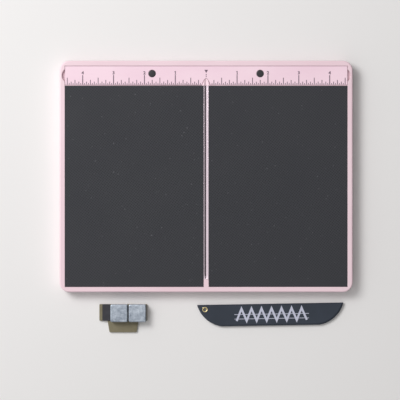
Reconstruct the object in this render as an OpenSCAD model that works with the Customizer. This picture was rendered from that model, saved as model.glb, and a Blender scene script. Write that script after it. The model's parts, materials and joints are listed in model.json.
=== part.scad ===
// Scoring board with a reversible ruler, a magnetic T-stop and a scoring tool.
// Millimetres, +Z up. X = 0 is the score line and the ruler's zero, Y = 0 is the middle of the
// board's depth, and Z = 0 is the table. +Y is the back edge, where the ruler lies.

/* [Board] */
// Width of the board
board_w = 241.3; // [190:0.1:320]
// Depth of the board, front to back
board_d = 190.5; // [150:0.1:260]
// Height of the border's top above the table
board_h = 11.1; // [9:0.1:16]
// Radius of the board's outside corners
corner_r = 8; // [4:0.5:14]
// Width of the raised border round the work surface
border_w = 4.3; // [3.5:0.1:8]
// How far the border and the score channel stand above the mats
border_proud = 0.2; // [0.1:0.05:0.6]
// Thickness of the skirt round the underside
skirt_t = 2.4; // [1.6:0.1:4]
// Thickness of the deck that the mats lie on
deck_t = 2.4; // [2.2:0.1:4]
// Height of the skirt's lower edge above the table
skirt_gap = 0.8; // [0.4:0.1:1.2]

/* [Underside] */
// Largest spacing of the ribs
rib_pitch = 22; // [16:1:30]
// Thickness of a rib
rib_t = 1.3; // [1:0.1:2.5]
// Height of the ribs' lower edges above the skirt's lower edge
rib_gap = 0.8; // [0.4:0.1:2]
// Radius of a rubber foot
foot_r = 6; // [4:0.25:9]
// Thickness of a rubber foot
foot_t = 1.6; // [1.4:0.1:3]
// Wall of the round boss that holds a foot
foot_wall = 2; // [1.2:0.1:3]
// Distance of the corner feet from the board's sides
foot_inset = 16; // [12:0.5:30]

/* [Work surface] */
// Thickness of the double-sided tape films
tape_t = 0.15; // [0.1:0.05:0.3]
// Thickness of the steel sheets
steel_t = 0.5; // [0.3:0.1:1]
// Thickness of the mats
mat_t = 0.85; // [0.6:0.05:1.5]
// Gap all round a mat
mat_gap = 0.15; // [0.1:0.05:0.5]
// How far the steel and its tape stay inside the mat's outline
steel_inset = 0.8; // [0.4:0.1:3]

/* [Score channel] */
// Width of the channel strip
channel_w = 4.06; // [3.6:0.02:6]
// Width of the groove at the top
groove_w = 2.9; // [1.6:0.05:3.2]
// Depth of the groove
groove_d = 0.85; // [0.5:0.05:1]
// Length of the ramp that runs the groove out at the front
runout_l = 5.1; // [2:0.1:12]
// Length of the plain tail between the channel strip and the front border
tail_l = 6.3; // [4:0.1:15]
// Length of the plain metal between the groove's end and the tail
channel_end = 0.3; // [0.2:0.1:2]

/* [Ruler] */
// Depth of the ruler, front to back
ruler_d = 15.3; // [13.5:0.1:25]
// Thickness of the ruler
ruler_t = 1.6; // [1.2:0.1:2]
// Gap all round the ruler in its seat
ruler_gap = 0.25; // [0.15:0.05:0.5]
// Thickness of the wall between the ruler's seat and the mats
divider_t = 0.5; // [0.4:0.1:2]
// Distance between the two locating studs
stud_pitch = 88.9; // [60:0.1:120]
// Distance of the studs from the ruler's front edge
stud_y = 9.2; // [8.5:0.1:10.5]
// Radius of a stud's head
stud_r = 2.9; // [2:0.05:3.5]
// Clearance of the stud's head in the ruler's hole
stud_clear = 0.2; // [0.1:0.05:0.4]
// How far the stud stands above the ruler
stud_proud = 0.15; // [0:0.05:0.5]
// Radius of the stud's stem
stem_r = 1.5; // [1:0.05:1.8]
// Length of the stud's stem
stem_l = 1.7; // [1:0.1:1.8]
// Clearance of the stem in its hole
stem_clear = 0.04; // [0.02:0.01:0.1]

/* [Nose] */
// Height of the bell-shaped nose, from the mats' back edge to its tip
nose_l = 5.7; // [5:0.1:7.5]
// Half width of the bell's round part
nose_r = 2.6; // [2.2:0.05:3.2]
// How far the bell flares out on each side at its foot
nose_flare = 1.2; // [0.4:0.1:2]
// How far the nose stands above the ruler
nose_proud = 0.3; // [0.1:0.05:0.8]
// Clearance of the nose in the ruler's notch
nose_clear = 0.25; // [0.15:0.05:0.5]

/* [Finger scoops] */
// Radius of the scoops at the ruler's ends
scoop_r = 6.5; // [4:0.25:6.5]
// How far a scoop cuts into the border
scoop_reach = 2.4; // [1:0.1:2.4]
// Depth of a scoop below the deck
scoop_d = 1; // [0.4:0.1:1.2]

/* [Scoring tool] */
// Length of the tool, tip to tip
tool_l = 121.1; // [95:0.1:180]
// Depth of the tool across its blade
tool_d = 18; // [13:0.1:22]
// Thickness of the tool
tool_t = 3; // [2.4:0.1:5]
// Thickness of the tool's edges
edge_t = 1.4; // [1:0.1:2]
// Width of the bevels
bevel_w = 1.2; // [0.6:0.1:1.3]
// Radius of the curved ends
end_r = 24.8; // [23:0.1:40]
// How far the end arcs would pass the straight front edge
end_drop = 0.3; // [0.2:0.05:1]
// Distance of the eyelet from the left tip
eyelet_x = 6.5; // [6:0.1:20]
// Distance of the eyelet from the back edge
eyelet_y = 3.8; // [3.7:0.1:5]
// Radius of the eyelet's hole
eyelet_bore_r = 1.2; // [0.7:0.05:1.45]
// Wall of the eyelet's barrel
eyelet_wall = 0.5; // [0.3:0.05:0.7]
// Radius of the eyelet's flanges
flange_r = 2.25; // [2.2:0.05:2.4]
// Thickness of the eyelet's flanges
flange_t = 0.35; // [0.25:0.05:0.5]
// Clearance round the eyelet's barrel and flanges
eyelet_clear = 0.05; // [0.03:0.01:0.1]
// Gap between the board's front edge and the tool's left tip
tool_front = 11.1; // [4:0.1:30]
// Place of the tool's left tip along X
tool_x = -7.5; // [-20:0.1:20]
// Turn of the tool on the table, in degrees
tool_turn = 1; // [-4:0.1:4]

/* [T-stop] */
// Length of the stop's bar
bar_l = 39.6; // [39.4:0.1:60]
// Depth of the stop's bar
bar_d = 13.7; // [12.9:0.1:20]
// Thickness of the stop's base plate
plate_t = 1.6; // [1:0.1:3]
// Width of the stem where it leaves the bar
stem_w = 25.6; // [15:0.1:35]
// How much narrower the stem is at its end
stem_taper = 3.2; // [0:0.1:6]
// Length of the stem beyond the bar
stem_out = 9.5; // [5:0.1:20]
// Distance of the stem's left edge from the bar's left end
stem_start = 6.8; // [4:0.1:12]
// Side of the square magnet blocks
block_w = 14.4; // [10:0.1:14.5]
// Height of the magnet blocks
block_h = 6.35; // [3:0.05:10]
// Gap between the two blocks
block_gap = 0.7; // [0.3:0.1:0.9]
// Distance of the right block from the bar's right end
block_end = 0.7; // [0.4:0.1:0.9]
// Distance of the blocks from the bar's back edge
block_back = 0; // [0:0.1:1]
// Width of the black pad
pad_w = 6.6; // [3:0.1:6.6]
// Thickness of the black pad
pad_t = 0.9; // [0.5:0.1:2]
// Distance of the pad from the bar's left end
pad_start = 2.5; // [0.5:0.1:2.5]
// Gap between the board's front edge and the stop
stop_front = 10.4; // [4:0.1:30]
// Place of the bar's middle along X
stop_x = -68.6; // [-80:0.1:-45]

/* [Hidden] */
$fn = 64;
cut = 1;                                                    // how far a cut runs past a face
deck_z = board_h - border_proud - mat_t - steel_t - tape_t; // top of the deck
deck_under = deck_z - deck_t;
inside_w = board_w - 2 * border_w;                          // between the borders
inside_d = board_d - 2 * border_w;
seat_d = ruler_d + 2 * ruler_gap;                           // depth of the ruler's seat
work_front = -inside_d / 2;
seat_back = inside_d / 2;
seat_front = seat_back - seat_d;
work_back = seat_front - divider_t;                         // the mats' back edge
work_d = work_back - work_front;
ruler_l = inside_w - 2 * ruler_gap;
ruler_front = seat_front + ruler_gap;
ruler_top = deck_z + ruler_t;
mat_w = (inside_w - channel_w) / 2 - 2 * mat_gap;
mat_d = work_d - 2 * mat_gap;
mat_x = channel_w / 2 + mat_gap + mat_w / 2;                // the mats' middles
mat_y = (work_front + work_back) / 2;
channel_front = work_front + tail_l;
channel_z = deck_z + tape_t;                                // underside of the channel strip
channel_t = board_h - channel_z;
groove_front = channel_front + channel_end + runout_l;      // where the run-out starts
foot_z = foot_t - skirt_gap;                                // depth of a foot in its recess
foot_places = concat([[0, 0]],
    [for (x = [-1, 1], y = [-1, 1]) [x * (board_w / 2 - foot_inset), y * (board_d / 2 - foot_inset)]]);
stud_places = [for (side = [-1, 1]) [side * stud_pitch / 2, ruler_front + stud_y]];
end_x = sqrt(pow(end_r, 2) - pow(end_r - tool_d - end_drop, 2)); // middle of an end arc
end_y = end_r - tool_d - end_drop;
stop_y = -board_d / 2 - stop_front;                         // back edge of the stop
stop_left = stop_x - bar_l / 2;
block_right_x = stop_x + bar_l / 2 - block_end - block_w;   // left faces of the two blocks
block_left_x = block_right_x - block_gap - block_w;

pink = "#eed3da";
black = "#2b2e35";
mat_grey = "#3c3d42";

// A flat plate with rounded corners, from z = 0 up.
module rounded_plate(w, d, h, r) {
    linear_extrude(h) {
        square([w - 2 * r, d], center = true);
        square([w, d - 2 * r], center = true);
        for (x = [-1, 1], y = [-1, 1]) translate([x * (w / 2 - r), y * (d / 2 - r)]) circle(r);
    }
}

// The bell: half an ellipse with a cubed flare at its foot, pointing to +Y from the origin.
function bell_side(r, l, flare, n = 20) =
    [for (i = [0 : n]) let (a = 90 * i / n) [r * cos(a) + flare * pow(1 - sin(a), 3), l * sin(a)]];

module bell(r, l, flare) {
    side = bell_side(r, l, flare);
    n = len(side) - 1;
    polygon(concat(side, [for (i = [1 : n]) [-side[n - i][0], side[n - i][1]]]));
}

// The groove's V, along Y, with its top edges at z = 0.
module groove_cut(from_y, to_y) {
    slope = groove_w / 2 / groove_d;
    translate([0, to_y, 0]) rotate([90, 0, 0]) linear_extrude(to_y - from_y)
        polygon([[0, -groove_d], [slope * (groove_d + cut), cut], [-slope * (groove_d + cut), cut]]);
}

// The ramp that runs the groove out at the front, with its top edges at z = 0.
module groove_runout() {
    top = groove_d + cut;
    half = groove_w / 2 / groove_d * top;
    tip = groove_front - runout_l / groove_d * top;
    polyhedron(
        points = [[0, groove_front, -groove_d], [-half, groove_front, cut], [half, groove_front, cut],
            [0, tip, cut]],
        faces = [[0, 2, 1], [0, 1, 3], [0, 3, 2], [1, 2, 3]]);
}

module underside_cells() {
    cavity_w = board_w - 2 * skirt_t;
    cavity_d = board_d - 2 * skirt_t;
    columns = ceil(cavity_w / rib_pitch);
    rows = ceil(cavity_d / rib_pitch);
    cell_w = (cavity_w + rib_t) / columns - rib_t;
    cell_d = (cavity_d + rib_t) / rows - rib_t;
    floor_z = skirt_gap + rib_gap;
    difference() {
        intersection() {
            translate([0, 0, floor_z])
                rounded_plate(cavity_w, cavity_d, deck_under - floor_z, corner_r - skirt_t);
            for (i = [0 : columns - 1], j = [0 : rows - 1])
                translate([-cavity_w / 2 + i * (cell_w + rib_t), -cavity_d / 2 + j * (cell_d + rib_t), 0])
                    cube([cell_w, cell_d, board_h]);
        }
        for (p = foot_places) translate([p[0], p[1], 0]) cylinder(r = foot_r + foot_wall, h = board_h);
    }
    // Under the ribs the cavity is one open space, with the foot bosses standing in it.
    difference() {
        translate([0, 0, skirt_gap - cut])
            rounded_plate(cavity_w, cavity_d, rib_gap + cut, corner_r - skirt_t);
        for (p = foot_places)
            translate([p[0], p[1], skirt_gap - 2 * cut]) cylinder(r = foot_r + foot_wall, h = board_h);
    }
}

module base_shell() {
    color(pink) difference() {
        union() {
            difference() {
                translate([0, 0, skirt_gap]) rounded_plate(board_w, board_d, board_h - skirt_gap, corner_r);
                // the mats' recess and the ruler's seat, with the divider between them
                translate([-inside_w / 2, work_front, deck_z]) cube([inside_w, work_d, board_h]);
                translate([-inside_w / 2, seat_front, deck_z]) cube([inside_w, seat_d, board_h]);
                for (side = [-1, 1])
                    translate([side * (inside_w / 2 + scoop_reach - scoop_r), (seat_front + seat_back) / 2,
                        deck_z - scoop_d]) cylinder(r = scoop_r, h = board_h);
                translate([-inside_w / 2, work_back - cut, board_h - border_proud])
                    cube([inside_w, divider_t + 2 * cut, board_h]);
            }
            translate([-channel_w / 2, work_front - cut, deck_under])
                cube([channel_w, tail_l + cut, board_h - deck_under]);
            translate([0, work_back, deck_under])
                linear_extrude(ruler_top + nose_proud - deck_under) bell(nose_r, nose_l, nose_flare);
        }
        translate([0, 0, board_h]) groove_cut(work_back - cut, work_back + nose_l + cut);
        underside_cells();
        for (p = foot_places) translate([p[0], p[1], 0])
            cylinder(r = foot_r + mat_gap, h = foot_t);
        for (p = stud_places) translate([p[0], p[1], deck_z - stem_l - stem_clear])
            cylinder(r = stem_r + stem_clear, h = board_h);
    }
}

module rubber_feet() {
    color("#3a3a3c") for (p = foot_places) translate([p[0], p[1], 0]) cylinder(r = foot_r, h = foot_t);
}

// One layer under or in a mat: a sheet of this inset and thickness, on the left (-1) or right (1).
module layer(side, inset, from_z, t) {
    translate([side * mat_x, mat_y, from_z + t / 2])
        cube([mat_w - 2 * inset, mat_d - 2 * inset, t], center = true);
}

module left_mat_tape() { color("#c9c4b4") layer(-1, steel_inset, deck_z, tape_t); }
module right_mat_tape() { color("#c9c4b4") layer(1, steel_inset, deck_z, tape_t); }
module left_steel_sheet() { color("#9aa0a6") layer(-1, steel_inset, deck_z + tape_t, steel_t); }
module right_steel_sheet() { color("#9aa0a6") layer(1, steel_inset, deck_z + tape_t, steel_t); }
module left_mat() { color(mat_grey) layer(-1, 0, deck_z + tape_t + steel_t, mat_t); }
module right_mat() { color(mat_grey) layer(1, 0, deck_z + tape_t + steel_t, mat_t); }

module channel_tape() {
    color("#c9c4b4") translate([-channel_w / 2, channel_front, deck_z])
        cube([channel_w, work_back - channel_front, tape_t]);
}

module score_channel() {
    color("#d8d6dc") difference() {
        translate([-channel_w / 2, channel_front, channel_z])
            cube([channel_w, work_back - channel_front, channel_t]);
        translate([0, 0, board_h]) {
            groove_cut(groove_front, work_back + cut);
            groove_runout();
        }
    }
}

module ruler() {
    color("#f4d6e3") difference() {
        translate([-ruler_l / 2, ruler_front, deck_z]) cube([ruler_l, ruler_d, ruler_t]);
        translate([0, work_back, deck_z - cut])
            linear_extrude(ruler_t + 2 * cut) bell(nose_r + nose_clear, nose_l + nose_clear, nose_flare);
        for (p = stud_places) translate([p[0], p[1], deck_z - cut])
            cylinder(r = stud_r + stud_clear, h = ruler_t + 2 * cut);
    }
}

// A locating stud: a round head on the deck and a stem in the deck's hole.
module stud(p) {
    chamfer = 0.3;
    head_h = ruler_t + stud_proud;
    color(black) translate([p[0], p[1], deck_z]) rotate_extrude() polygon([
        [0, -stem_l], [stem_r, -stem_l], [stem_r, 0], [stud_r, 0],
        [stud_r, head_h - chamfer], [stud_r - chamfer, head_h], [0, head_h]]);
}

module ruler_stud_left() { stud(stud_places[0]); }
module ruler_stud_right() { stud(stud_places[1]); }

// Places the tool's own frame: left tip at the origin, back edge along +X, blade towards -Y.
module at_tool() {
    translate([tool_x, -board_d / 2 - tool_front, 0]) rotate(tool_turn) children();
}

// Half of the tool's edge profile, from the middle of the blade out to an edge at distance w.
function edge_side(w) = [[w - bevel_w, 0], [w, (tool_t - edge_t) / 2],
    [w, (tool_t + edge_t) / 2], [w - bevel_w, tool_t]];

module tool_blade() {
    color(black) at_tool() difference() {
        intersection() {
            // straight blade with both long edges bevelled
            translate([0, -tool_d / 2, 0]) rotate([90, 0, 90]) linear_extrude(tool_l)
                polygon(concat(edge_side(tool_d / 2),
                    [for (i = [3 : -1 : 0]) [-edge_side(tool_d / 2)[i][0], edge_side(tool_d / 2)[i][1]]]));
            union() {
                for (x = [end_x, tool_l - end_x]) translate([x, end_y, 0])
                    rotate_extrude($fn = 128) polygon(concat([[0, 0]], edge_side(end_r), [[0, tool_t]]));
                translate([end_x, -tool_d - cut, -cut])
                    cube([tool_l - 2 * end_x, tool_d + 2 * cut, tool_t + 2 * cut]);
            }
        }
        translate([eyelet_x, -eyelet_y, -cut])
            cylinder(r = eyelet_bore_r + eyelet_wall + eyelet_clear, h = tool_t + 2 * cut);
        for (z = [-cut, tool_t - flange_t]) translate([eyelet_x, -eyelet_y, z])
            cylinder(r = flange_r + eyelet_clear, h = flange_t + cut);
    }
}

module tool_eyelet() {
    barrel_r = eyelet_bore_r + eyelet_wall;
    color("#d8b45a") at_tool() translate([eyelet_x, -eyelet_y, 0]) difference() {
        union() {
            cylinder(r = barrel_r, h = tool_t);
            cylinder(r = flange_r, h = flange_t);
            translate([0, 0, tool_t - flange_t]) cylinder(r = flange_r, h = flange_t);
        }
        translate([0, 0, -cut]) cylinder(r = eyelet_bore_r, h = tool_t + 2 * cut);
    }
}

module stop_plate() {
    stem_left = stop_left + stem_start;
    color("#716a58") translate([0, stop_y, 0]) linear_extrude(plate_t) polygon([
        [stop_left, 0], [stop_left, -bar_d], [stem_left, -bar_d],
        [stem_left + stem_taper / 2, -bar_d - stem_out],
        [stem_left + stem_w - stem_taper / 2, -bar_d - stem_out],
        [stem_left + stem_w, -bar_d], [stop_left + bar_l, -bar_d], [stop_left + bar_l, 0]]);
}

module stop_pad() {
    color(mat_grey) translate([stop_left + pad_start, stop_y - bar_d, plate_t]) cube([pad_w, bar_d, pad_t]);
}

// A square block on the stop's bar, with its left face at this x.
module magnet(x) {
    color("#aeb5bf") translate([x, stop_y - block_back - block_w, plate_t])
        cube([block_w, block_w, block_h]);
}

module stop_magnet_left() { magnet(block_left_x); }
module stop_magnet_right() { magnet(block_right_x); }

base_shell();
rubber_feet();
left_mat_tape();
right_mat_tape();
left_steel_sheet();
right_steel_sheet();
left_mat();
right_mat();
channel_tape();
score_channel();
ruler();
ruler_stud_left();
ruler_stud_right();
tool_blade();
tool_eyelet();
stop_plate();
stop_pad();
stop_magnet_left();
stop_magnet_right();
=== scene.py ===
"""Scoring board with its reversible ruler, the scoring tool and the magnetic T-stop.
Lengths are in millimetres until a mesh is made, which is in metres."""
import json

import bmesh
import bpy
import numpy as np
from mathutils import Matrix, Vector
from mathutils.geometry import tessellate_polygon

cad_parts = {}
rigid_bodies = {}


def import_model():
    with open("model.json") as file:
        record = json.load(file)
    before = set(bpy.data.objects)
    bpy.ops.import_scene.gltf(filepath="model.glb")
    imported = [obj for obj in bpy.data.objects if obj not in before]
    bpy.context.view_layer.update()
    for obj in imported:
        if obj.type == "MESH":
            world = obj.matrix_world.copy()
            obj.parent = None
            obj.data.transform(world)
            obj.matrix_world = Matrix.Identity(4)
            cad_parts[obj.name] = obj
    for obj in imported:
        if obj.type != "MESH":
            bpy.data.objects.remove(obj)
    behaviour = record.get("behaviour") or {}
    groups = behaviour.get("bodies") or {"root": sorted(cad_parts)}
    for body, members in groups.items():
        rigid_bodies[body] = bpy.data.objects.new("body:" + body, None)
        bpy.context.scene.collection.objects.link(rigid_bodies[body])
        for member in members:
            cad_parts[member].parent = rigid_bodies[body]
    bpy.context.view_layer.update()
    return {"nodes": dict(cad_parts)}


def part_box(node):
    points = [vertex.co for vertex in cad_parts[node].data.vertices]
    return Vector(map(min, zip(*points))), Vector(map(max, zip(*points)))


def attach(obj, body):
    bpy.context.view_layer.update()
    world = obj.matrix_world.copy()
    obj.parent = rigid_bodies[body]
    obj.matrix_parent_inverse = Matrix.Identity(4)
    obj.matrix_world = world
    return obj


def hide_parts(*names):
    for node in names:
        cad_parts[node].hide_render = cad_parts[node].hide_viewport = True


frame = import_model()

# ---- Base shell ----------------------------------------------------------------------------------
# The board itself: one injection moulding in pale pink ABS, with a raised border, the ruler's seat,
# the divider with its bell-shaped nose, the plain tail of the score line and a ribbed underside.
# Its edges have the small radii of the mould, and the border's outside edge a larger one.


def corners(node):
    """Lowest and highest corner of a CAD node, in millimetres."""
    low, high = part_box(node)
    return np.array(low) * 1000, np.array(high) * 1000


def linear(hex_colour):
    """sRGB hex to linear RGBA: v / 12.92 up to 0.04045, and ((v + 0.055) / 1.055) ** 2.4 above."""
    srgb = np.array([int(hex_colour[i:i + 2], 16) for i in (1, 3, 5)]) / 255
    rgb = np.where(srgb <= 0.04045, srgb / 12.92, ((srgb + 0.055) / 1.055) ** 2.4)
    return (*rgb, 1.0)


def node(material, kind, inputs=(), **settings):
    """Adds one shader node with its settings. inputs maps a socket's name or number to a value, or to
    the socket that feeds it. Returns the node's outputs."""
    made = material.node_tree.nodes.new("ShaderNode" + kind)
    for name, value in settings.items():
        setattr(made, name, value)
    for key, value in dict(inputs).items():
        if isinstance(value, bpy.types.NodeSocket):
            material.node_tree.links.new(value, made.inputs[key])
        else:
            made.inputs[key].default_value = value
    return made.outputs


def blank(name):
    """A node material with nothing in it."""
    material = bpy.data.materials.new(name)
    material.use_nodes = True
    material.node_tree.nodes.clear()
    return material


def noise(material, place, scale, detail):
    """A noise from 0 to 1, whose patches are 1 / scale metres wide."""
    return node(material, "TexNoise", {"Vector": place, "Scale": scale, "Detail": detail})["Fac"]


def blend(material, factor, low, high):
    """Colour from low to high by factor. Each of the two is an sRGB hex or the socket of a colour."""
    low, high = (linear(tone) if isinstance(tone, str) else tone for tone in (low, high))
    return node(material, "Mix", {"Factor": factor, 6: low, 7: high}, data_type="RGBA")[2]


def between(material, value, low, high):
    """A value from 0 to 1, carried to the range from low to high."""
    return node(material, "MapRange", {"Value": value, "To Min": low, "To Max": high})["Result"]


def bump(material, height, strength, distance):
    """Normal of a relief that is distance metres high."""
    return node(material, "Bump", {"Height": height, "Strength": strength,
                                   "Distance": distance})["Normal"]


def coat(material, inputs):
    """Ends a material in one principled surface with these inputs."""
    node(material, "OutputMaterial", {"Surface": node(material, "BsdfPrincipled", inputs)["BSDF"]})


def fit(piece, material, slot, body, *nodes):
    """Gives a finished piece its material and the body that carries it, and hides the CAD nodes it
    stands for. The slot argument is not used."""
    piece.data.materials.clear()
    piece.data.materials.append(material)
    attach(piece, body)
    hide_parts(*nodes)


board_high = corners("base_shell")[1]
corner_r = 8.0                                                  # the board's corners, seen from above
deck_top = corners("ruler")[0][2]
mats_back = corners("score_channel")[1][1]                      # where the divider and the nose start
divider_t = 0.5
divider_back = mats_back + divider_t
nose_r, nose_long, nose_flare = 2.6, 5.7, 1.2
nose_above = 0.2                                                # how far it stands above the border
groove_half, groove_deep = 1.45, 0.85


def closed_object(name, points, faces):
    """Object in metres from points in millimetres and faces."""
    mesh = bpy.data.meshes.new(name)
    mesh.from_pydata(np.asarray(points, float) / 1000, [], faces)
    made = bpy.data.objects.new(name, mesh)
    bpy.context.scene.collection.objects.link(made)
    return made


def finished(piece, name, kind, **settings):
    """Adds one modifier and applies it, so that the next one starts from its result."""
    modifier = piece.modifiers.new(name, kind)
    for key, value in settings.items():
        setattr(modifier, key, value)
    shaped = bpy.data.meshes.new_from_object(
        piece.evaluated_get(bpy.context.evaluated_depsgraph_get()))
    piece.modifiers.clear()
    piece.data = shaped


def block(low, high):
    """A box's eight corners and six faces."""
    low, high = np.array(low, float), np.array(high, float)
    pick = np.array([[(i >> axis) & 1 for axis in range(3)] for i in range(8)])
    return low + (high - low) * pick, [(0, 2, 3, 1), (4, 5, 7, 6), (0, 1, 5, 4), (2, 6, 7, 3),
                                       (0, 4, 6, 2), (1, 3, 7, 5)]


def edge_radii(mesh, sharp=50, rim_radius=1.2, edge_radius=0.25, rib_radius=0.2):
    """Radius in millimetres for each edge of the shell, from where it lies: outside corners only, large
    round the border's outer rim, small on the rest and on the ribs, and none beside the nose."""
    ends = np.empty(len(mesh.edges) * 2, int)
    mesh.edges.foreach_get("vertices", ends)
    points = np.empty(len(mesh.vertices) * 3)
    mesh.vertices.foreach_get("co", points)
    points = points.reshape(-1, 3)[ends.reshape(-1, 2)] * 1000
    middle = points.mean(1)
    past = np.abs(middle[:, :2]) - (board_high[:2] - corner_r)
    # How far each edge lies inside the board's rounded outline.
    inside = corner_r - np.where(past.min(1) > 0, np.hypot(*past.clip(0).T), past.max(1))
    work = bmesh.new()
    work.from_mesh(mesh)
    folded = np.array([edge.calc_face_angle_signed(0) for edge in work.edges])
    work.free()
    radius = np.full(len(mesh.edges), edge_radius)
    top = points[:, :, 2].min(1) > board_high[2] - 0.5
    radius[top & (inside < 0.3)] = rim_radius
    underside = 2.0                                             # ribs, bosses and walls end below this
    radius[middle[:, 2] < underside] = rib_radius
    around = 4.0                                                # the nose is narrower than this a side
    beside_nose = (np.abs(points[:, :, 0]).max(1) < around) & (middle[:, 1] > mats_back - 0.5)
    radius[beside_nose & (middle[:, 1] < mats_back + 2 * around)] = 0
    radius[folded < np.radians(sharp)] = 0
    return radius


shell = bmesh.new()
shell.from_mesh(frame["nodes"]["base_shell"].data)
bmesh.ops.remove_doubles(shell, verts=shell.verts, dist=2e-6)
bmesh.ops.dissolve_limit(shell, angle_limit=np.radians(0.3), verts=shell.verts, edges=shell.edges)
board = closed_object("board_moulding", np.zeros((0, 3)), [])
shell.to_mesh(board.data)
shell.free()
# The CAD's flat-topped nose is cut off down to the deck. Where the nose meets the divider the cut is
# narrower, so that it stays inside the nose that takes its place.
cut_half, cut_long, cut_top = 3.6, 5.6, 14.0
narrow_half, cut_start = 3.0, mats_back - 0.5
for low, high in (((-cut_half, divider_back, deck_top), (cut_half, divider_back + cut_long, cut_top)),
                  ((-narrow_half, cut_start, deck_top), (narrow_half, divider_back, cut_top))):
    cutter = closed_object("cutter", *block(low, high))
    finished(board, "cut", "BOOLEAN", operation="DIFFERENCE", object=cutter, solver="EXACT")
    bpy.data.objects.remove(cutter)
radii = edge_radii(board.data)
weight = board.data.attributes.new("bevel_weight_edge", "FLOAT", "EDGE")
weight.data.foreach_set("value", (radii / radii.max()).astype(np.float32))
finished(board, "mould radii", "BEVEL", width=radii.max() / 1000, limit_method="WEIGHT", segments=3,
         use_clamp_overlap=False)


def nose_surface(steps_y=36, crown=1.15, sunk=0.6):
    """Grid of the nose: rows from the mats' edge to the tip, where the half width is
    r cos a + flare (1 - sin a) ** 3 at y = long sin a. Across, 6 columns a side span the groove and 10
    the flank, closer together towards the outline. The top rounds off towards the outline as a quarter
    circle of radius crown, and the groove's V is cut where it lies lower. The underside is sunk into
    the deck."""
    angle = np.linspace(0, np.pi / 2, steps_y)
    half = nose_r * np.cos(angle) + nose_flare * (1 - np.sin(angle)) ** 3
    y = mats_back - 0.02 + nose_long * np.sin(angle)
    outline = np.stack([half, y], 1)
    outline = np.concatenate([outline, outline[::-1] * (-1, 1)])
    top, slope = board_high[2], groove_deep / groove_half
    lip = np.minimum(groove_half + nose_above / slope, half)
    out = 1 - (1 - np.linspace(0, 1, 11)[1:]) ** 1.8
    side = np.concatenate([lip[:, None] * np.linspace(0, 1, 7), lip[:, None]
                           + (half - lip)[:, None] * out], 1)
    x = np.concatenate([-side[:, :0:-1], side], 1)
    place = np.stack([x, np.broadcast_to(y[:, None], x.shape)], -1)
    away = np.sqrt(((place[:, :, None] - outline) ** 2).sum(-1)).min(-1).clip(0, crown)
    away[np.abs(x) >= half[:, None] - 1e-9] = 0
    domed = top - crown + np.sqrt(crown ** 2 - (crown - away) ** 2)
    groove = top - nose_above - groove_deep + np.abs(x) * slope
    z = np.minimum(domed, groove)
    bottom = np.full_like(z, deck_top - sunk)
    rows = np.concatenate([place, z[..., None]], -1)
    under = np.concatenate([place, bottom[..., None]], -1)
    ring = np.concatenate([rows, under[:, ::-1]], 1)
    count = ring.shape[1]
    faces = [[int(i) for i in quad] for quad in grid_faces(len(ring), count)]
    faces += [list(range(count)), [(len(ring) - 1) * count + i for i in range(count)]]
    return ring.reshape(-1, 3), faces


def grid_faces(rows, columns):
    """Quads of a grid whose points are numbered row by row, with the last column joined to the first."""
    row, column = np.meshgrid(np.arange(rows - 1), np.arange(columns), indexing="ij")
    here, beside = row * columns + column, row * columns + (column + 1) % columns
    return np.stack([here, beside, beside + columns, here + columns], -1).reshape(-1, 4).tolist()


def turned_out(mesh):
    """Merges a mesh's doubles, drops what they leave without area, and turns each closed shell's faces
    outwards."""
    work = bmesh.new()
    work.from_mesh(mesh)
    bmesh.ops.remove_doubles(work, verts=work.verts, dist=1e-7)
    bmesh.ops.dissolve_degenerate(work, edges=work.edges, dist=1e-8)
    bmesh.ops.recalc_face_normals(work, faces=work.faces)
    work.to_mesh(mesh)
    work.free()


def smoothed(piece, sharp):
    """Smooth shading, broken at edges sharper than this many degrees, with flat faces kept flat."""
    piece.data.polygons.foreach_set("use_smooth", np.ones(len(piece.data.polygons), bool))
    piece.data.set_sharp_from_angle(angle=np.radians(sharp))
    piece.modifiers.new("flat faces stay flat", "WEIGHTED_NORMAL").keep_sharp = True


nose = closed_object("nose", *nose_surface())
turned_out(nose.data)
finished(board, "nose", "BOOLEAN", operation="UNION", object=nose, solver="EXACT")
bpy.data.objects.remove(nose)
smoothed(board, 35)

# Satin ABS from a spark-eroded mould: a soft highlight broken up by a grain of about 0.3 mm, drawn at
# 0.7 mm so that it shows, and a very slight change of tone over the hand's width.
pink_abs = blank("moulded_pink_abs")
place = node(pink_abs, "TexCoord")["Object"]
grain = noise(pink_abs, place, 1400, 3)
cloud = noise(pink_abs, place, 14, 4)
tone = blend(pink_abs, cloud, "#e6c6d0", "#f3dbe2")
gloss = between(pink_abs, grain, 0.36, 0.52)
relief = bump(pink_abs, grain, 0.25, 0.00006)
coat(pink_abs, {"Base Color": tone, "Roughness": gloss, "Normal": relief, "IOR": 1.54})
fit(board, pink_abs, "pink_abs", "board", "base_shell")

# ---- Rubber feet ---------------------------------------------------------------------------------
# Five round feet of black rubber, die-cut and stuck in the round bosses of the underside.


def turned(profile, centre=(0, 0), steps=48):
    """A profile of (radius, height) points carried round a vertical axis at centre: the point at angle
    a is centre + radius * (cos a, sin a)."""
    profile = np.array(profile, float)
    angle = np.arange(steps) * 2 * np.pi / steps
    ring = np.stack([np.cos(angle), np.sin(angle), 0 * angle], -1)
    points = profile[:, None, :1] * ring + profile[:, None, 1:] * (0, 0, 1)
    return points.reshape(-1, 3) + (*centre, 0), grid_faces(len(profile), steps)


def solid(name, parts, sharp=35):
    """One object in metres from parts of (points in millimetres, faces)."""
    points, faces, start = [], [], 0
    for part_points, part_faces in parts:
        points.append(part_points)
        faces += [[start + i for i in face] for face in part_faces]
        start += len(part_points)
    piece = closed_object(name, np.concatenate(points), faces)
    turned_out(piece.data)
    smoothed(piece, sharp)
    return piece


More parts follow.
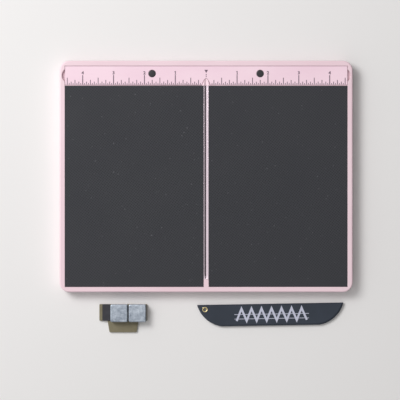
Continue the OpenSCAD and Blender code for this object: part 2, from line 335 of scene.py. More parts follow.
feet_high = corners("rubber_feet")[1]
foot_r, foot_round = 6.0, 0.35
foot_spread = feet_high[:2] - foot_r
foot_turn = np.linspace(0, np.pi / 2, 5)
foot_profile = np.concatenate([
    [[0, 0]],
    np.stack([foot_r - foot_round * (1 - np.sin(foot_turn)), foot_round * (1 - np.cos(foot_turn))], 1),
    [[foot_r, feet_high[2]], [0, feet_high[2]]]])
foot_places = [(0, 0)] + [(x * foot_spread[0], y * foot_spread[1]) for x in (-1, 1) for y in (-1, 1)]
feet = solid("rubber_foot_discs", [turned(foot_profile, place) for place in foot_places])

# Die-cut SBR: nearly black, dull, with a fine grain of half a millimetre and clouds of talc.
foot_rubber = blank("black_sbr_rubber")
place = node(foot_rubber, "TexCoord")["Object"]
grain = noise(foot_rubber, place, 2000, 4)
dust = noise(foot_rubber, place, 260, 5)
tone = blend(foot_rubber, dust, "#2b2b2d", "#4a4a4c")
relief = bump(foot_rubber, grain, 0.4, 0.0001)
coat(foot_rubber, {"Base Color": tone, "Roughness": 0.82, "Normal": relief, "IOR": 1.52})
fit(feet, foot_rubber, "foot_rubber", "board", "rubber_feet")

# ---- Tapes ---------------------------------------------------------------------------------------
# Double-sided tape that fixes the two steel sheets and the channel strip to the deck: a cream film
# with an even coat of clear adhesive. Flat film, so the CAD sheets stay.

tape_film = blank("double_sided_tape")
place = node(tape_film, "TexCoord")["Object"]
wrinkle = noise(tape_film, place, 300, 3)
tone = blend(tape_film, wrinkle, "#bcb6a4", "#d6d2c4")
relief = bump(tape_film, wrinkle, 0.2, 0.0001)
coat(tape_film, {"Base Color": tone, "Roughness": 0.35, "Normal": relief, "IOR": 1.48})
for name in ("left_mat_tape", "right_mat_tape", "channel_tape"):
    frame["nodes"][name].data.materials[0] = tape_film

# ---- Steel sheets --------------------------------------------------------------------------------
# Two thin cold-rolled steel sheets under the mats, for the stop's magnets to hold to. Sheared flat
# blanks, so the CAD sheets stay.

sheet_steel = blank("cold_rolled_steel")
place = node(sheet_steel, "TexCoord")["Object"]
stretched = node(sheet_steel, "Mapping", {"Vector": place, "Scale": (40, 2500, 2500)})["Vector"]
rolling = noise(sheet_steel, stretched, 1, 4)
gloss = between(sheet_steel, rolling, 0.28, 0.48)
relief = bump(sheet_steel, rolling, 0.2, 0.00002)
coat(sheet_steel, {"Base Color": linear("#a3a8ad"), "Metallic": 1.0, "Roughness": gloss, "Normal": relief})
for name in ("left_steel_sheet", "right_steel_sheet"):
    frame["nodes"][name].data.materials[0] = sheet_steel

# ---- Mats ----------------------------------------------------------------------------------------
# Two soft black vinyl sheets, die-cut and bonded on the steel, with a fine woven emboss that grips
# the paper. Their cut edges are only slightly rounded.


def rounded_rectangle(low, high, radius, steps=6):
    """Outline, counter-clockwise, as a function of how far it is drawn in: four quarter circles whose
    centres stay in place while their radius becomes radius - inset."""
    low, high = np.array(low[:2], float), np.array(high[:2], float)
    centre = np.array([(high[0], high[1]), (low[0], high[1]), (low[0], low[1]), (high[0], low[1])])
    centre += radius * np.array([(-1, -1), (1, -1), (1, 1), (-1, 1)])
    angle = (np.arange(4)[:, None] + np.linspace(0, 1, steps + 1)) * np.pi / 2
    turn = np.stack([np.cos(angle), np.sin(angle)], -1)
    return lambda inset: (centre[:, None] + (radius - inset) * turn).reshape(-1, 2)


def rim(low, high, edge, steps=4):
    """Rows of (inset, height) from a plate's underside to its top, with a quarter circle of radius
    edge at both: inset = edge * (1 - sin a), height = edge * (1 - cos a)."""
    angle = np.linspace(0, np.pi / 2, steps + 1)
    inset, rise = edge * (1 - np.sin(angle)), edge * (1 - np.cos(angle))
    return np.concatenate([np.stack([inset, low + rise], 1),
                           np.stack([inset, high - rise], 1)[::-1]])


def plate(walls):
    """Closed plate. walls holds (outline, rows) pairs: the outline, counter-clockwise outside and
    clockwise round a hole, is drawn in by each row's inset at that row's height, and the first and the
    last rows are joined by flat faces."""
    points, faces, bottom, top = [], [], [], []
    start = 0
    for outline, rows in walls:
        wall = np.stack([np.column_stack([outline(inset), np.full(len(outline(0)), height)])
                         for inset, height in rows])
        count = wall.shape[1]
        faces += [[start + i for i in face] for face in grid_faces(len(rows), count)]
        points.append(wall.reshape(-1, 3))
        bottom.append(np.arange(start, start + count))
        top.append(np.arange(start + (len(rows) - 1) * count, start + len(rows) * count))
        start += len(rows) * count
    points = np.concatenate(points)
    for loops in (bottom, top):
        index = np.concatenate(loops)
        for triangle in tessellate_polygon([[Vector((*points[i][:2], 0)) for i in loop]
                                            for loop in loops]):
            faces.append([int(index[i]) for i in triangle])
    return points, faces


# Calendered soft PVC, charcoal and matt, embossed with a diagonal cross-hatch whose raised lines are
# coloured lighter as a painted highlight. Its pitch of 1 mm is drawn at 1.7 mm so that it shows. A few
# paler specks are paper dust.
mat_vinyl = blank("embossed_black_vinyl")
place = node(mat_vinyl, "TexCoord")["Object"]
bands = [node(mat_vinyl, "TexWave", {
    "Vector": node(mat_vinyl, "Mapping", {"Vector": place, "Rotation": (0, 0, np.radians(turn))})["Vector"],
    "Scale": 185, "Distortion": 0.9, "Detail": 1, "Detail Scale": 0.3}, bands_direction="X")["Fac"]
    for turn in (38, -52)]
weave = node(mat_vinyl, "Math", {0: bands[0], 1: bands[1]}, operation="MAXIMUM")[0]
cloud = node(mat_vinyl, "TexNoise", {"Vector": place, "Scale": 22, "Detail": 6, "Roughness": 0.65})["Fac"]
speck = noise(mat_vinyl, place, 420, 2)
fleck = node(mat_vinyl, "MapRange", {"Value": speck, "From Min": 0.71, "From Max": 0.78,
                                     "To Max": 0.25})["Result"]
ground = blend(mat_vinyl, cloud, "#0c0d0f", "#212226")
# Painted highlight: the hatch's raised lines are coloured lighter than the ground; their relief comes from
# the bump.
ground_and_painted_hatch_highlight = blend(mat_vinyl, weave, ground, "#323339")
tone = blend(mat_vinyl, fleck, ground_and_painted_hatch_highlight, "#8b8a90")
gloss = between(mat_vinyl, cloud, 0.62, 0.82)
relief = bump(mat_vinyl, weave, 0.5, 0.00012)
coat(mat_vinyl, {"Base Color": tone, "Roughness": gloss, "Normal": relief, "IOR": 1.5})
for side in ("left", "right"):
    low, high = corners(side + "_mat")
    mat = solid(side + "_vinyl_mat", [plate([(rounded_rectangle(low, high, 0.4),
                                              rim(low[2], high[2], 0.14))])])
    fit(mat, mat_vinyl, "mat_vinyl", "board", side + "_mat")

# ---- Score channel -------------------------------------------------------------------------------
# A bright pressed strip between the mats, with a V-groove down its middle in which the tool's edge
# runs. The groove's ramp ends it just behind the tail.

strip_low, strip_high = corners("score_channel")
ramp_end = strip_low[1] + 0.3
ramp_long = 5.1


def channel_section(y, lip_half=0.07, edge=0.2):
    """Closed section of the strip at each y: flat top, groove lips cut off over lip_half to each side,
    straight V walls, and a radius of edge along the top's outer edges. The V's depth and half width
    grow together along the ramp, as sqrt(1 - (1 - t) ** 2)."""
    grown = np.sqrt(1 - (1 - np.clip((y - ramp_end) / ramp_long, 0, 1)) ** 2)[:, None]
    across = np.array([-1, -0.5, -0.06, 0.06, 0.5, 1])          # over the V's own half width
    v_x = across * groove_half * grown
    v_z = strip_high[2] - groove_deep * grown * (1 - np.abs(across))
    lip = lip_half * grown
    left_x = np.concatenate([v_x[:, :1] - lip, v_x[:, :1] + lip], 1)
    left_z = np.concatenate([0 * lip + strip_high[2], strip_high[2] - lip * groove_deep / groove_half], 1)
    turn = np.linspace(0, np.pi / 2, 4)
    round_x = strip_low[0] + edge * (1 - np.cos(turn)) + 0 * grown
    round_z = strip_high[2] - edge * (1 - np.sin(turn)) + 0 * grown
    foot = np.full_like(grown, strip_low[0])
    half_x = np.concatenate([foot, round_x, left_x], 1)
    half_z = np.concatenate([0 * foot + strip_low[2], round_z, left_z], 1)
    x = np.concatenate([half_x, v_x[:, 1:-1], -half_x[:, ::-1]], 1)
    z = np.concatenate([half_z, v_z[:, 1:-1], half_z[:, ::-1]], 1)
    return np.stack([x, np.broadcast_to(y[:, None], x.shape), z], -1)


stations = np.concatenate([[strip_low[1], ramp_end], np.linspace(ramp_end, ramp_end + ramp_long, 9)[1:],
                           np.linspace(ramp_end + ramp_long, strip_high[1], 12)[1:]])
strip = channel_section(stations)
strip_count = strip.shape[1]
strip_faces = grid_faces(len(stations), strip_count)
strip_faces.append(list(range(strip_count)))
strip_faces.append([(len(stations) - 1) * strip_count + i for i in range(strip_count)])
channel = solid("score_channel_strip", [(strip.reshape(-1, 3), strip_faces)], sharp=20)

# Pressed and polished aluminium: bright, its colour tinted pink as a painted reflection of the board, and
# faint draw lines along the strip, 0.4 mm apart.
channel_metal = blank("polished_aluminium")
place = node(channel_metal, "TexCoord")["Object"]
stretched = node(channel_metal, "Mapping", {"Vector": place, "Scale": (2500, 30, 2500)})["Vector"]
drawn = noise(channel_metal, stretched, 1, 3)
gloss = between(channel_metal, drawn, 0.18, 0.27)
relief = bump(channel_metal, drawn, 0.05, 0.00001)
# The pink in this base colour is a painted reflection of the pink board.
coat(channel_metal, {"Base Color": linear("#f6e4ee"), "Metallic": 1.0, "Roughness": gloss,
                     "Normal": relief})
fit(channel, channel_metal, "channel_metal", "board", "score_channel")

# ---- Ruler studs ---------------------------------------------------------------------------------
# Two black nylon buttons pressed into the deck, which hold the ruler in place by its two holes. Their
# tops are slightly crowned.

# Moulded nylon: nearly black, satin, with a faint grain of 0.4 mm.
stud_nylon = blank("black_nylon")
place = node(stud_nylon, "TexCoord")["Object"]
grain = noise(stud_nylon, place, 2600, 3)
gloss = between(stud_nylon, grain, 0.3, 0.5)
relief = bump(stud_nylon, grain, 0.3, 0.00005)
tone = blend(stud_nylon, grain, "#19181c", "#29272e")
coat(stud_nylon, {"Base Color": tone, "Roughness": gloss, "Normal": relief, "IOR": 1.53})
stem_r, stem_long, stem_round = 1.5, 1.7, 0.25
head_round, head_crown = 0.35, 0.08
for side in ("left", "right"):
    low, high = corners("ruler_stud_" + side)
    head_r = (high[0] - low[0]) / 2
    deck = low[2] + stem_long
    turn = np.linspace(0, np.pi / 2, 6)
    crown = np.linspace(0, 1, 5)
    flat_r = head_r - head_round
    profile = np.concatenate([
        [[0, low[2]], [stem_r - stem_round, low[2]], [stem_r, low[2] + stem_round], [stem_r, deck],
         [head_r - 0.1, deck], [head_r, deck + 0.1]],
        np.stack([flat_r + head_round * np.cos(turn),
                  high[2] - head_crown - head_round * (1 - np.sin(turn))], 1),
        np.stack([flat_r * (1 - crown), high[2] - head_crown * (1 - crown) ** 2], 1)[1:]])
    stud = solid(side + "_stud_button", [turned(profile, ((low + high) / 2)[:2])])
    fit(stud, stud_nylon, "stud_nylon", "board", "ruler_stud_" + side)

# ---- Ruler ---------------------------------------------------------------------------------------
# A flat moulded strip of paler pink plastic, notched round the nose and holed for the two studs. One
# face is printed in inches and the other in centimetres, both counted from the score line outwards.

ruler_low, ruler_high = corners("ruler")
notch_r, notch_long, notch_flare = 2.85, 5.95, 1.2
stud_hole_r = 3.1


def drawn_in(loop, inset):
    """A closed outline moved to the left of its direction by inset: each point goes along the sum of
    its two edges' left normals, over one plus their product."""
    along = np.roll(loop, -1, 0) - loop
    along /= np.linalg.norm(along, axis=1, keepdims=True)
    left = np.stack([-along[:, 1], along[:, 0]], 1)
    before = np.roll(left, 1, 0)
    return loop + inset * (left + before) / (1 + (left * before).sum(1, keepdims=True))


def ruler_outline(steps=28):
    """Rectangle, counter-clockwise, with the nose's bell cut in its front edge, a little larger all
    round: x = r cos a + flare (1 - sin a) ** 3, y = long sin a, from the mats' edge."""
    start = np.arcsin((ruler_low[1] - mats_back) / notch_long)
    angle = np.linspace(np.pi - start, start, steps)
    reach = notch_r * np.cos(angle) + np.sign(np.cos(angle)) * notch_flare * (1 - np.sin(angle)) ** 3
    bell = np.stack([reach, mats_back + notch_long * np.sin(angle)], 1)
    return np.concatenate([[ruler_low[:2]], bell, [(ruler_high[0], ruler_low[1]), ruler_high[:2],
                                                    (ruler_low[0], ruler_high[1])]])


def round_hole(centre, radius, steps=40):
    """Clockwise circle; drawing it in makes it wider."""
    angle = -np.arange(steps) * 2 * np.pi / steps
    turn = np.stack([np.cos(angle), np.sin(angle)], 1)
    return lambda inset: np.array(centre[:2]) + (radius + inset) * turn


ruler_loop = ruler_outline()
ruler_edge = rim(ruler_low[2], ruler_high[2], 0.22, 3)
stud_middles = [sum(corners("ruler_stud_" + side)) / 2 for side in ("left", "right")]
ruler = solid("pink_ruler", [plate(
    [(lambda inset: drawn_in(ruler_loop, inset), ruler_edge)]
    + [(round_hole(middle, stud_hole_r), ruler_edge) for middle in stud_middles])])

# Moulded high-impact polystyrene, a little lighter and glossier than the board, with a faint flow
# mottle along its length.
ruler_plastic = blank("pale_pink_polystyrene")
place = node(ruler_plastic, "TexCoord")["Object"]
grain = noise(ruler_plastic, place, 1600, 3)
flow = node(ruler_plastic, "TexNoise", {
    "Vector": node(ruler_plastic, "Mapping", {"Vector": place, "Scale": (0.35, 1, 1)})["Vector"],
    "Scale": 60, "Detail": 4})["Fac"]
tone = blend(ruler_plastic, flow, "#eecbdb", "#fadfe9")
gloss = between(ruler_plastic, grain, 0.28, 0.42)
relief = bump(ruler_plastic, grain, 0.2, 0.00004)
coat(ruler_plastic, {"Base Color": tone, "Roughness": gloss, "Normal": relief, "IOR": 1.57})
fit(ruler, ruler_plastic, "ruler_plastic", "ruler", "ruler")

# ---- Ruler print ---------------------------------------------------------------------------------
# Screen-printed scales in dark mauve ink: lines, numbers and the zero arrow. The ink is a film with
# a thickness of its own, drawn 0.03 mm thick.

ink_t = 0.03
sink = 0.02                                                     # how far a print reaches into its piece


def bars(middles, widths, starts, ends, z_low, z_high):
    """Upright boxes of ink in one array: eight corners round each middle, from start to end in y."""
    middles, widths, starts, ends = np.broadcast_arrays(middles, widths, starts, ends)
    x = middles[:, None] + widths[:, None] / 2 * np.array([-1, 1, 1, -1, -1, 1, 1, -1])
    y = np.where(np.array([1, 1, 0, 0, 1, 1, 0, 0], bool), starts[:, None], ends[:, None])
    z = np.broadcast_to(np.where(np.arange(8) < 4, z_low, z_high), x.shape)
    faces = np.array([[3, 2, 1, 0], [4, 5, 6, 7], [0, 1, 5, 4], [1, 2, 6, 5], [2, 3, 7, 6], [3, 0, 4, 7]])
    faces = faces + 8 * np.arange(len(middles))[:, None, None]
    return np.stack([x, y, z], -1).reshape(-1, 3), faces.reshape(-1, 4).tolist()


def ribbon(path, width, z_low, z_high):
    """A strip of even width along a polyline: each point is moved both ways along the sum of its
    neighbouring edges' normals, over one plus their product, and given a thickness."""
    path = np.array(path, float)
    along = np.diff(path, axis=0)
    along /= np.linalg.norm(along, axis=1, keepdims=True)
    left = np.stack([-along[:, 1], along[:, 0]], 1)
    before, after = np.concatenate([left[:1], left]), np.concatenate([left, left[-1:]])
    shift = width / 2 * (before + after) / (1 + (before * after).sum(1, keepdims=True))
    corner = np.stack([path - shift, path + shift, path + shift, path - shift], 1)
    height = np.broadcast_to([z_low, z_low, z_high, z_high], (len(path), 4))
    points = np.concatenate([corner, height[..., None]], -1).reshape(-1, 3)
    faces = grid_faces(len(path), 4)
    return points, faces + [[0, 1, 2, 3], [len(points) - 4 + i for i in (3, 2, 1, 0)]]


def lettered(text, z_low, z_high):
    """The font's outlines of a text, filled and a little thickened, one high, centred on x, and given
    the ink's thickness."""
    curve = bpy.data.curves.new("numeral", "FONT")
    curve.body, curve.align_x = text, "CENTER"
    curve.extrude, curve.offset, curve.resolution_u = 0.5, 0.045, 3
    holder = bpy.data.objects.new("numeral", curve)
    mesh = bpy.data.meshes.new_from_object(holder)
    points = np.empty(len(mesh.vertices) * 3)
    mesh.vertices.foreach_get("co", points)
    points = points.reshape(-1, 3)
    faces = [list(face.vertices) for face in mesh.polygons]
    size = points[:, 1].max() - points[:, 1].min()
    points[:, 1] -= points[:, 1].min()
    points[:, :2] /= size
    points[:, 2] = np.where(points[:, 2] < 0, z_low, z_high)
    for data, store in ((holder, bpy.data.objects), (curve, bpy.data.curves), (mesh, bpy.data.meshes)):
        store.remove(data)
    return points, faces


def numeral(text, x, y, height, z_low, z_high, mirror=1):
    """Parts of a printed number, centred on x and standing on y. A one is drawn with a flag and a
    foot, and every other figure comes from the font. The measures are for a figure one high."""
    stem_x, stroke, spacing = 0.04, 0.21, 0.74
    parts = []
    for place, figure in enumerate(text):
        if figure == "1":
            flag_and_stem = ribbon([(-0.24, 0.74), (stem_x, 0.91), (stem_x, 0)], stroke, z_low, z_high)
            foot = bars(np.array([stem_x]), 0.5, 0.0, 0.14, z_low, z_high)
            drawn = [flag_and_stem, foot]
        else:
            drawn = [lettered(figure, z_low, z_high)]
        shift = (place - (len(text) - 1) / 2) * spacing
        for points, faces in drawn:
            flat = (points[:, :2] + (shift, 0)) * height + (x, y)
            parts.append((np.column_stack([mirror * flat[:, 0], flat[:, 1], points[:, 2]]), faces))
    return parts


def scale_print(unit, divisions, tops, last, z_low, z_high, mirror):
    """Parts of one printed scale. Line number n stands at n * unit / divisions from the score line, on
    both sides, and is as tall as the largest division that it belongs to. The arrow that marks the
    score line and the two dashes that lead from it to the nose are printed too."""
    front = ruler_low[1]
    unit_line, other_line, margin = 0.75, 0.6, 0.25             # widths, and the gap to the front edge
    numeral_high, numeral_gap = 2.8, 0.5
    arrow_tip, arrow_top, arrow_half = 9.7, 12.3, 1.45
    dashes = front + np.array([(6.3, 7.35), (7.75, 8.95)])
    count = np.arange(-int(last * divisions), int(last * divisions) + 1)
    count = count[np.abs(count * unit / divisions) > notch_r + notch_flare]
    top = np.full(len(count), tops[-1])
    for step, reach in list(zip((divisions, divisions // 2, divisions // 4, divisions // 8), tops))[::-1]:
        top = np.where(count % step == 0, reach, top)
    width = np.where(count % divisions == 0, unit_line, other_line)
    parts = [bars(count * unit / divisions, width, front + margin, front + top, z_low, z_high)]
    for value in range(1, int(last) + 1):
        for side in (-1, 1):
            parts += numeral(str(value), side * value * unit, front + tops[0] + numeral_gap,
                             numeral_high, z_low, z_high, mirror)
    arrow = np.array([(0, arrow_tip), (arrow_half, arrow_top), (-arrow_half, arrow_top)]) + (0, front)
    points = np.concatenate([np.column_stack([arrow, np.full(3, z)]) for z in (z_low, z_high)])
    parts.append((points, [[2, 1, 0], [3, 4, 5], [0, 1, 4, 3], [1, 2, 5, 4], [2, 0, 3, 5]]))
    parts.append(bars(np.zeros(2), other_line, dashes[:, 0], dashes[:, 1], z_low, z_high))
    return parts


inches = scale_print(25.4, 16, (7.95, 5.8, 4.0, 2.55, 1.4), 4.5, ruler_high[2] - sink,
                     ruler_high[2] + ink_t, 1)
centimetres = scale_print(10.0, 10, (7.95, 5.2, 3.2), 11, ruler_low[2] - ink_t, ruler_low[2] + sink, -1)
ruler_print = solid("ruler_printed_scales", inches + centimetres)

# Solvent screen ink: matt, and uneven over 0.3 mm, as the screen's mesh leaves it.
screen_ink = blank("mauve_screen_ink")
place = node(screen_ink, "TexCoord")["Object"]
mesh_mark = noise(screen_ink, place, 3500, 2)
tone = blend(screen_ink, mesh_mark, "#54414f", "#7d6577")
coat(screen_ink, {"Base Color": tone, "Roughness": 0.6, "IOR": 1.5})
ruler_print.data.materials.append(screen_ink)
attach(ruler_print, "ruler")

# ---- Scoring tool --------------------------------------------------------------------------------
# A flat black blade of moulded acetal. Its two curved ends crease the paper; all its edges are
# bevelled to a narrow land. A brass eyelet near the left tip takes a cord or a hook.

blade_long, blade_deep, blade_t = 121.1, 18.0, 3.0
blade_land, blade_bevel, blade_flat = 1.4, 1.2, 0.5             # the flat is the bevel's margin
end_radius, end_drop = 24.8, 0.3
tool_turn = np.radians(1.0)
eyelet_middle = np.array([6.5, -3.8])
eyelet_low, eyelet_high = corners("tool_eyelet")


def on_table(points):
    """From the tool's own frame, left tip of the back edge at the origin, to its place on the table,
    found from the eyelet: turned by tool_turn and moved."""
    turn = np.array([[np.cos(tool_turn), np.sin(tool_turn)], [-np.sin(tool_turn), np.cos(tool_turn)]])
    middle = (eyelet_low + eyelet_high)[:2] / 2
    moved = np.array(points, float)
    moved[:, :2] = (moved[:, :2] - eyelet_middle) @ turn + middle
    return moved


def blade_outline(inset, steps=40):
    """Counter-clockwise outline drawn in by inset: the straight back edge, two arcs of radius
    end_radius - inset about the same centres, and the straight front edge between them."""
    radius = end_radius - inset
    drop = end_radius - blade_deep - end_drop
    centre_x = np.sqrt(end_radius ** 2 - drop ** 2)
    back = np.pi + np.arcsin((drop + inset) / radius)           # where the arc meets the back edge
    front = np.pi + np.arcsin(min((drop + blade_deep - inset) / radius, 1.0))
    angle = np.linspace(back, front, steps)
    left = np.stack([centre_x + radius * np.cos(angle), drop + radius * np.sin(angle)], 1)
    right = np.stack([blade_long - left[:, 0], left[:, 1]], 1)[::-1]
    return np.concatenate([left, right])


def eased(rows, radius, steps=3):
    """Rows of (inset, height) with each inner corner replaced by a quadratic curve that starts and ends
    at radius from it."""
    rows = np.array(rows, float)
    before, corner, after = rows[:-2], rows[1:-1], rows[2:]
    start = corner + radius * (before - corner) / np.linalg.norm(before - corner, axis=1, keepdims=True)
    end = corner + radius * (after - corner) / np.linalg.norm(after - corner, axis=1, keepdims=True)
    t = np.linspace(0, 1, steps + 1)[None, :, None]
    curve = (1 - t) ** 2 * start[:, None] + 2 * t * (1 - t) * corner[:, None] + t ** 2 * end[:, None]
    return np.concatenate([rows[:1], curve.reshape(-1, 2), rows[-1:]])


side_rise = (blade_t - blade_land) / 2
blade_inner, blade_ease = blade_bevel + blade_flat, 0.22
blade_rows = eased([(blade_inner, 0), (blade_bevel, 0), (0, side_rise), (0, blade_t - side_rise),
                    (blade_bevel, blade_t), (blade_inner, blade_t)], blade_ease)
seat_deep, seat_wide, barrel_hole_r = 0.35, 0.55, 1.75
hole_rows = [(seat_wide, 0), (seat_wide, seat_deep), (0, seat_deep), (0, blade_t - seat_deep),
             (seat_wide, blade_t - seat_deep), (seat_wide, blade_t)]
blade_points, blade_faces = plate([(blade_outline, blade_rows),
                                   (round_hole(eyelet_middle, barrel_hole_r), hole_rows)])
blade = solid("acetal_blade", [(on_table(blade_points), blade_faces)], sharp=25)

# Acetal: nearly black with a blue cast, satin from a fine moulded grain of 0.4 mm, and clouded a
# little by handling.
tool_plastic = blank("black_acetal")
place = node(tool_plastic, "TexCoord")["Object"]
grain = noise(tool_plastic, place, 2400, 3)
cloud = noise(tool_plastic, place, 45, 5)
tone = blend(tool_plastic, cloud, "#1e2530", "#2f3846")
gloss = between(tool_plastic, cloud, 0.34, 0.5)
relief = bump(tool_plastic, grain, 0.3, 0.00004)
coat(tool_plastic, {"Base Color": tone, "Roughness": gloss, "Normal": relief, "IOR": 1.48})
fit(blade, tool_plastic, "tool_plastic", "tool", "tool_blade")

# ---- Tool print ----------------------------------------------------------------------------------
# A plain foil-stamped band on the blade's face: a folded-paper zigzag crossed by two thin lines.

band_from, band_to, band_back, band_front = 32.5, 90.5, -3.7, -13.7
foil_t, zigzag_w, line_w, line_past = 0.03, 1.7, 0.45, 1.8
folds = 15
zig = np.stack([np.linspace(band_from, band_to, folds),
                np.where(np.arange(folds) % 2 == 0, band_front, band_back)], 1)
foil_parts = [ribbon(zig, zigzag_w, blade_t - sink, blade_t + foil_t)]
# The lines lie just under the zigzag's top, so that no two faces share a plane.
for line_y in (-8.4, -12.1):
    foil_parts.append(ribbon([(band_from - line_past, line_y), (band_to + line_past, line_y)], line_w,
                             blade_t - sink * 0.8, blade_t + foil_t * 0.7))
foil_band = solid("blade_foil_band", [(on_table(points), faces) for points, faces in foil_parts])

# Hot-stamped silver foil: pale lilac-silver, half gloss, with the blade's grain showing through it.
silver_foil = blank("silver_stamping_foil")
place = node(silver_foil, "TexCoord")["Object"]
grain = noise(silver_foil, place, 2400, 3)
gloss = between(silver_foil, grain, 0.35, 0.6)
relief = bump(silver_foil, grain, 0.3, 0.00004)
coat(silver_foil, {"Base Color": linear("#c9cbdc"), "Metallic": 0.55, "Roughness": gloss, "Normal": relief})
foil_band.data.materials.append(silver_foil)
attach(foil_band, "tool")

# ---- Tool eyelet ---------------------------------------------------------------------------------
# A brass eyelet set through the blade and rolled over on both faces, flush with them.

bore_r, barrel_r, flange_r, flange_t = 1.2, 1.7, 2.25, 0.35
# Half section of a rolled lip: from the bore up over a crest at two thirds of its width, and down
# to the rim.
lip_r = np.array([0, 0.06, 0.16, 0.3, 0.45, 0.6, 0.74, 0.86, 0.95, 1]) * (flange_r - bore_r) + bore_r
lip_z = np.array([-0.75, -0.42, -0.24, -0.11, -0.035, 0, 0, -0.04, -0.12, -0.26])
top_roll = np.stack([lip_r, blade_t + lip_z], 1)
eyelet_loop = np.concatenate([
    top_roll, [[flange_r, blade_t - flange_t], [barrel_r, blade_t - flange_t], [barrel_r, flange_t],
               [flange_r, flange_t]], (top_roll * (1, -1) + (0, blade_t))[::-1]])
eyelet_loop = np.concatenate([eyelet_loop, eyelet_loop[:1]])
eyelet_points, eyelet_faces = turned(eyelet_loop, eyelet_middle, 56)
eyelet = solid("rolled_brass_eyelet", [(on_table(eyelet_points), eyelet_faces)], sharp=50)

# Bright brass, lightly tarnished in patches of a millimetre; the bore's wall is painted dark, as painted
# shade inside the hole.
eyelet_brass = blank("bright_brass")
place = node(eyelet_brass, "TexCoord")["Object"]
tarnish = noise(eyelet_brass, place, 900, 4)
polished = blend(eyelet_brass, tarnish, "#ecd28c", "#fdf0c4")
# Painted shade: inside the bore, towards the blade's middle height, the brass is coloured dark brown.
height = node(eyelet_brass, "SeparateXYZ", {"Vector": place})["Z"]
off_middle = node(eyelet_brass, "Math", {0: height, 1: blade_t / 2000}, operation="SUBTRACT")[0]
clear_of_painted_bore_shade = node(eyelet_brass, "MapRange", {
    "Value": node(eyelet_brass, "Math", {0: off_middle}, operation="ABSOLUTE")[0],
    "From Min": 0.0010, "From Max": 0.0014})["Result"]
tone = blend(eyelet_brass, clear_of_painted_bore_shade, "#3b3420", polished)
gloss = between(eyelet_brass, tarnish, 0.2, 0.4)
coat(eyelet_brass, {"Base Color": tone, "Metallic": 1.0, "Roughness": gloss})
fit(eyelet, eyelet_brass, "eyelet_brass", "tool", "tool_eyelet")

# ---- T-stop plate --------------------------------------------------------------------------------
# The stop's base: a T-shaped plate cut from olive-brown flexible magnet sheet, a bar with a short
# tapered stem.

plate_low, plate_high = corners("stop_plate")
bar_d = 13.7
bar_front = plate_high[1] - bar_d
stem_left, stem_w, stem_taper = plate_low[0] + 6.8, 25.6, 3.2


def softened(loop, radius, steps=4):
    """An outline with each corner replaced by a quadratic curve that starts and ends at radius."""
    closed = np.concatenate([loop[-1:], loop, loop[:1]])
    return eased(closed, radius, steps)[1:-1]


stop_corners = np.array([
    (plate_high[0], plate_high[1]), (plate_low[0], plate_high[1]), (plate_low[0], bar_front),
    (stem_left, bar_front), (stem_left + stem_taper / 2, plate_low[1]),
    (stem_left + stem_w - stem_taper / 2, plate_low[1]), (stem_left + stem_w, bar_front),
    (plate_high[0], bar_front)])
stop_loop = softened(stop_corners, 0.7)
stop_plate = solid("stop_base_plate", [plate([(lambda inset: drawn_in(stop_loop, inset),
                                               rim(plate_low[2], plate_high[2], 0.16, 3))])])

# Ferrite-filled rubber sheet: olive brown and dull, with the roller lines of its making 0.8 mm apart
# and a darker rubbed patch here and there.
magnet_sheet = blank("flexible_magnet_sheet")
place = node(magnet_sheet, "TexCoord")["Object"]
grain = noise(magnet_sheet, place, 1500, 4)
cloud = noise(magnet_sheet, place, 130, 5)
lines = node(magnet_sheet, "TexWave", {"Vector": place, "Scale": 392, "Distortion": 0.8, "Detail": 2},
             bands_direction="X")["Fac"]
tone = blend(magnet_sheet, cloud, "#676049", "#877f67")
height = node(magnet_sheet, "Math", {0: lines, 1: grain}, operation="ADD")[0]
relief = bump(magnet_sheet, height, 0.3, 0.00005)
coat(magnet_sheet, {"Base Color": tone, "Roughness": 0.72, "Normal": relief, "IOR": 1.5})
fit(stop_plate, magnet_sheet, "magnet_sheet", "stop", "stop_plate")

# ---- T-stop pad ----------------------------------------------------------------------------------
# A black rubber pad stuck across the bar's left end, for a thumb to hold the stop down.

pad_low, pad_high = corners("stop_pad")
# Square at the bottom, where it is stuck down, and rounded at the top.
pad_rows = np.concatenate([[(0, pad_low[2])], rim(pad_low[2], pad_high[2], 0.32)[5:]])
pad = solid("stop_rubber_pad", [plate([(rounded_rectangle(pad_low, pad_high, 0.6), pad_rows)])])

# Moulded rubber: charcoal and dull, with a grain of 0.6 mm and clouds of 5 mm.
stop_rubber = blank("black_pad_rubber")
place = node(stop_rubber, "TexCoord")["Object"]
grain = noise(stop_rubber, place, 1700, 4)
cloud = noise(stop_rubber, place, 220, 4)
tone = blend(stop_rubber, cloud, "#1e1d22", "#3a3940")
relief = bump(stop_rubber, grain, 0.5, 0.0001)
coat(stop_rubber, {"Base Color": tone, "Roughness": 0.7, "Normal": relief, "IOR": 1.52})
fit(pad, stop_rubber, "stop_rubber", "stop", "stop_pad")

# ---- Magnet blocks -------------------------------------------------------------------------------
# Two square sintered magnets with chamfered edges, side by side on the bar.

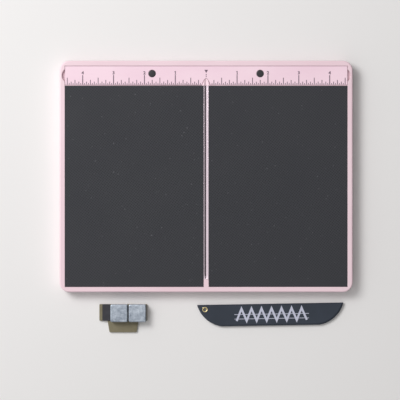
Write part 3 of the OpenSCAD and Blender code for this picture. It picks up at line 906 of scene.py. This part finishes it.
# Nickel plating: pale steel-blue metal, clouded by handling, and slightly uneven over 2 mm.
magnet_plating = blank("nickel_plating")
place = node(magnet_plating, "TexCoord")["Object"]
cloud = node(magnet_plating, "TexNoise", {"Vector": place, "Scale": 300, "Detail": 5,
                                          "Roughness": 0.7})["Fac"]
mottle = node(magnet_plating, "MapRange", {"Value": cloud, "From Min": 0.3, "From Max": 0.7})["Result"]
spot = node(magnet_plating, "TexVoronoi", {"Vector": place, "Scale": 520})["Distance"]
tone = blend(magnet_plating, mottle, "#8b95a3", "#ccd4de")
gloss = between(magnet_plating, cloud, 0.3, 0.6)
relief = bump(magnet_plating, spot, 0.25, 0.00004)
coat(magnet_plating, {"Base Color": tone, "Metallic": 1.0, "Roughness": gloss, "Normal": relief})
magnet_r, chamfer_wide, chamfer_high, foot_chamfer, chamfer_ease = 1.3, 0.8, 0.4, 0.2, 0.1
for side in ("left", "right"):
    low, high = corners("stop_magnet_" + side)
    edge = eased([(chamfer_wide, low[2]), (foot_chamfer, low[2]), (0, low[2] + foot_chamfer),
                  (0, high[2] - chamfer_high), (chamfer_wide, high[2]),
                  (chamfer_wide + 0.4, high[2])], chamfer_ease)
    magnet = solid(side + "_magnet_block", [plate([(rounded_rectangle(low, high, magnet_r), edge)])])
    fit(magnet, magnet_plating, "magnet_plating", "stop", "stop_magnet_" + side)

# ---- Studio --------------------------------------------------------------------------------------
# Plain pale floor, a large soft light from the upper left, and the camera straight above.

# Lengths in this section are in metres. The floor lies just under the feet.
floor_half, floor_z = 2.5, -0.0002
floor_mesh = bpy.data.meshes.new("floor")
floor_mesh.from_pydata([(x * floor_half, y * floor_half, floor_z)
                        for x, y in ((-1, -1), (1, -1), (1, 1), (-1, 1))], [], [(0, 1, 2, 3)])
floor = bpy.data.objects.new("floor", floor_mesh)
bpy.context.scene.collection.objects.link(floor)
floor_paint = blank("pale_floor")
coat(floor_paint, {"Base Color": linear("#e9e7e6"), "Roughness": 0.9})
floor_mesh.materials.append(floor_paint)


def lamp(name, place, target, size, power):
    """A square soft light at place that faces target, with its side in metres and power in watts."""
    data = bpy.data.lights.new(name, "AREA")
    data.shape, data.size, data.energy = "SQUARE", size, power
    light = bpy.data.objects.new(name, data)
    bpy.context.scene.collection.objects.link(light)
    light.location = place
    light.rotation_euler = (Vector(target) - Vector(place)).to_track_quat("-Z", "Y").to_euler()


lamp("key", (-0.7, 0.5, 1.0), (0, 0, 0), 0.6, 11)
# The room is brightest overhead and to the left and falls off to the right, as by a window.
sky = bpy.data.worlds.new("room")
sky.use_nodes = True
sky.node_tree.nodes.clear()
facing = node(sky, "VectorMath", {0: node(sky, "TexCoord")["Generated"], 1: (-0.8, 0, 0.6)},
              operation="DOT_PRODUCT")["Value"]
shine = node(sky, "MapRange", {"Value": facing, "From Min": -0.45, "From Max": 0.8, "To Min": 0.05,
                               "To Max": 0.9}, interpolation_type="SMOOTHSTEP")["Result"]
node(sky, "OutputWorld", {"Surface": node(sky, "Background", {"Strength": shine})["Background"]})
bpy.context.scene.world = sky
bpy.context.scene.view_settings.view_transform = "Standard"

camera = bpy.data.objects.new("camera", bpy.data.cameras.new("camera"))
bpy.context.scene.collection.objects.link(camera)
camera.data.sensor_width = 36
camera.data.lens = 164.1
camera.location = (-0.0051, -0.0194, 1.511)
camera.rotation_euler = (0, 0, 0)
bpy.context.scene.camera = camera
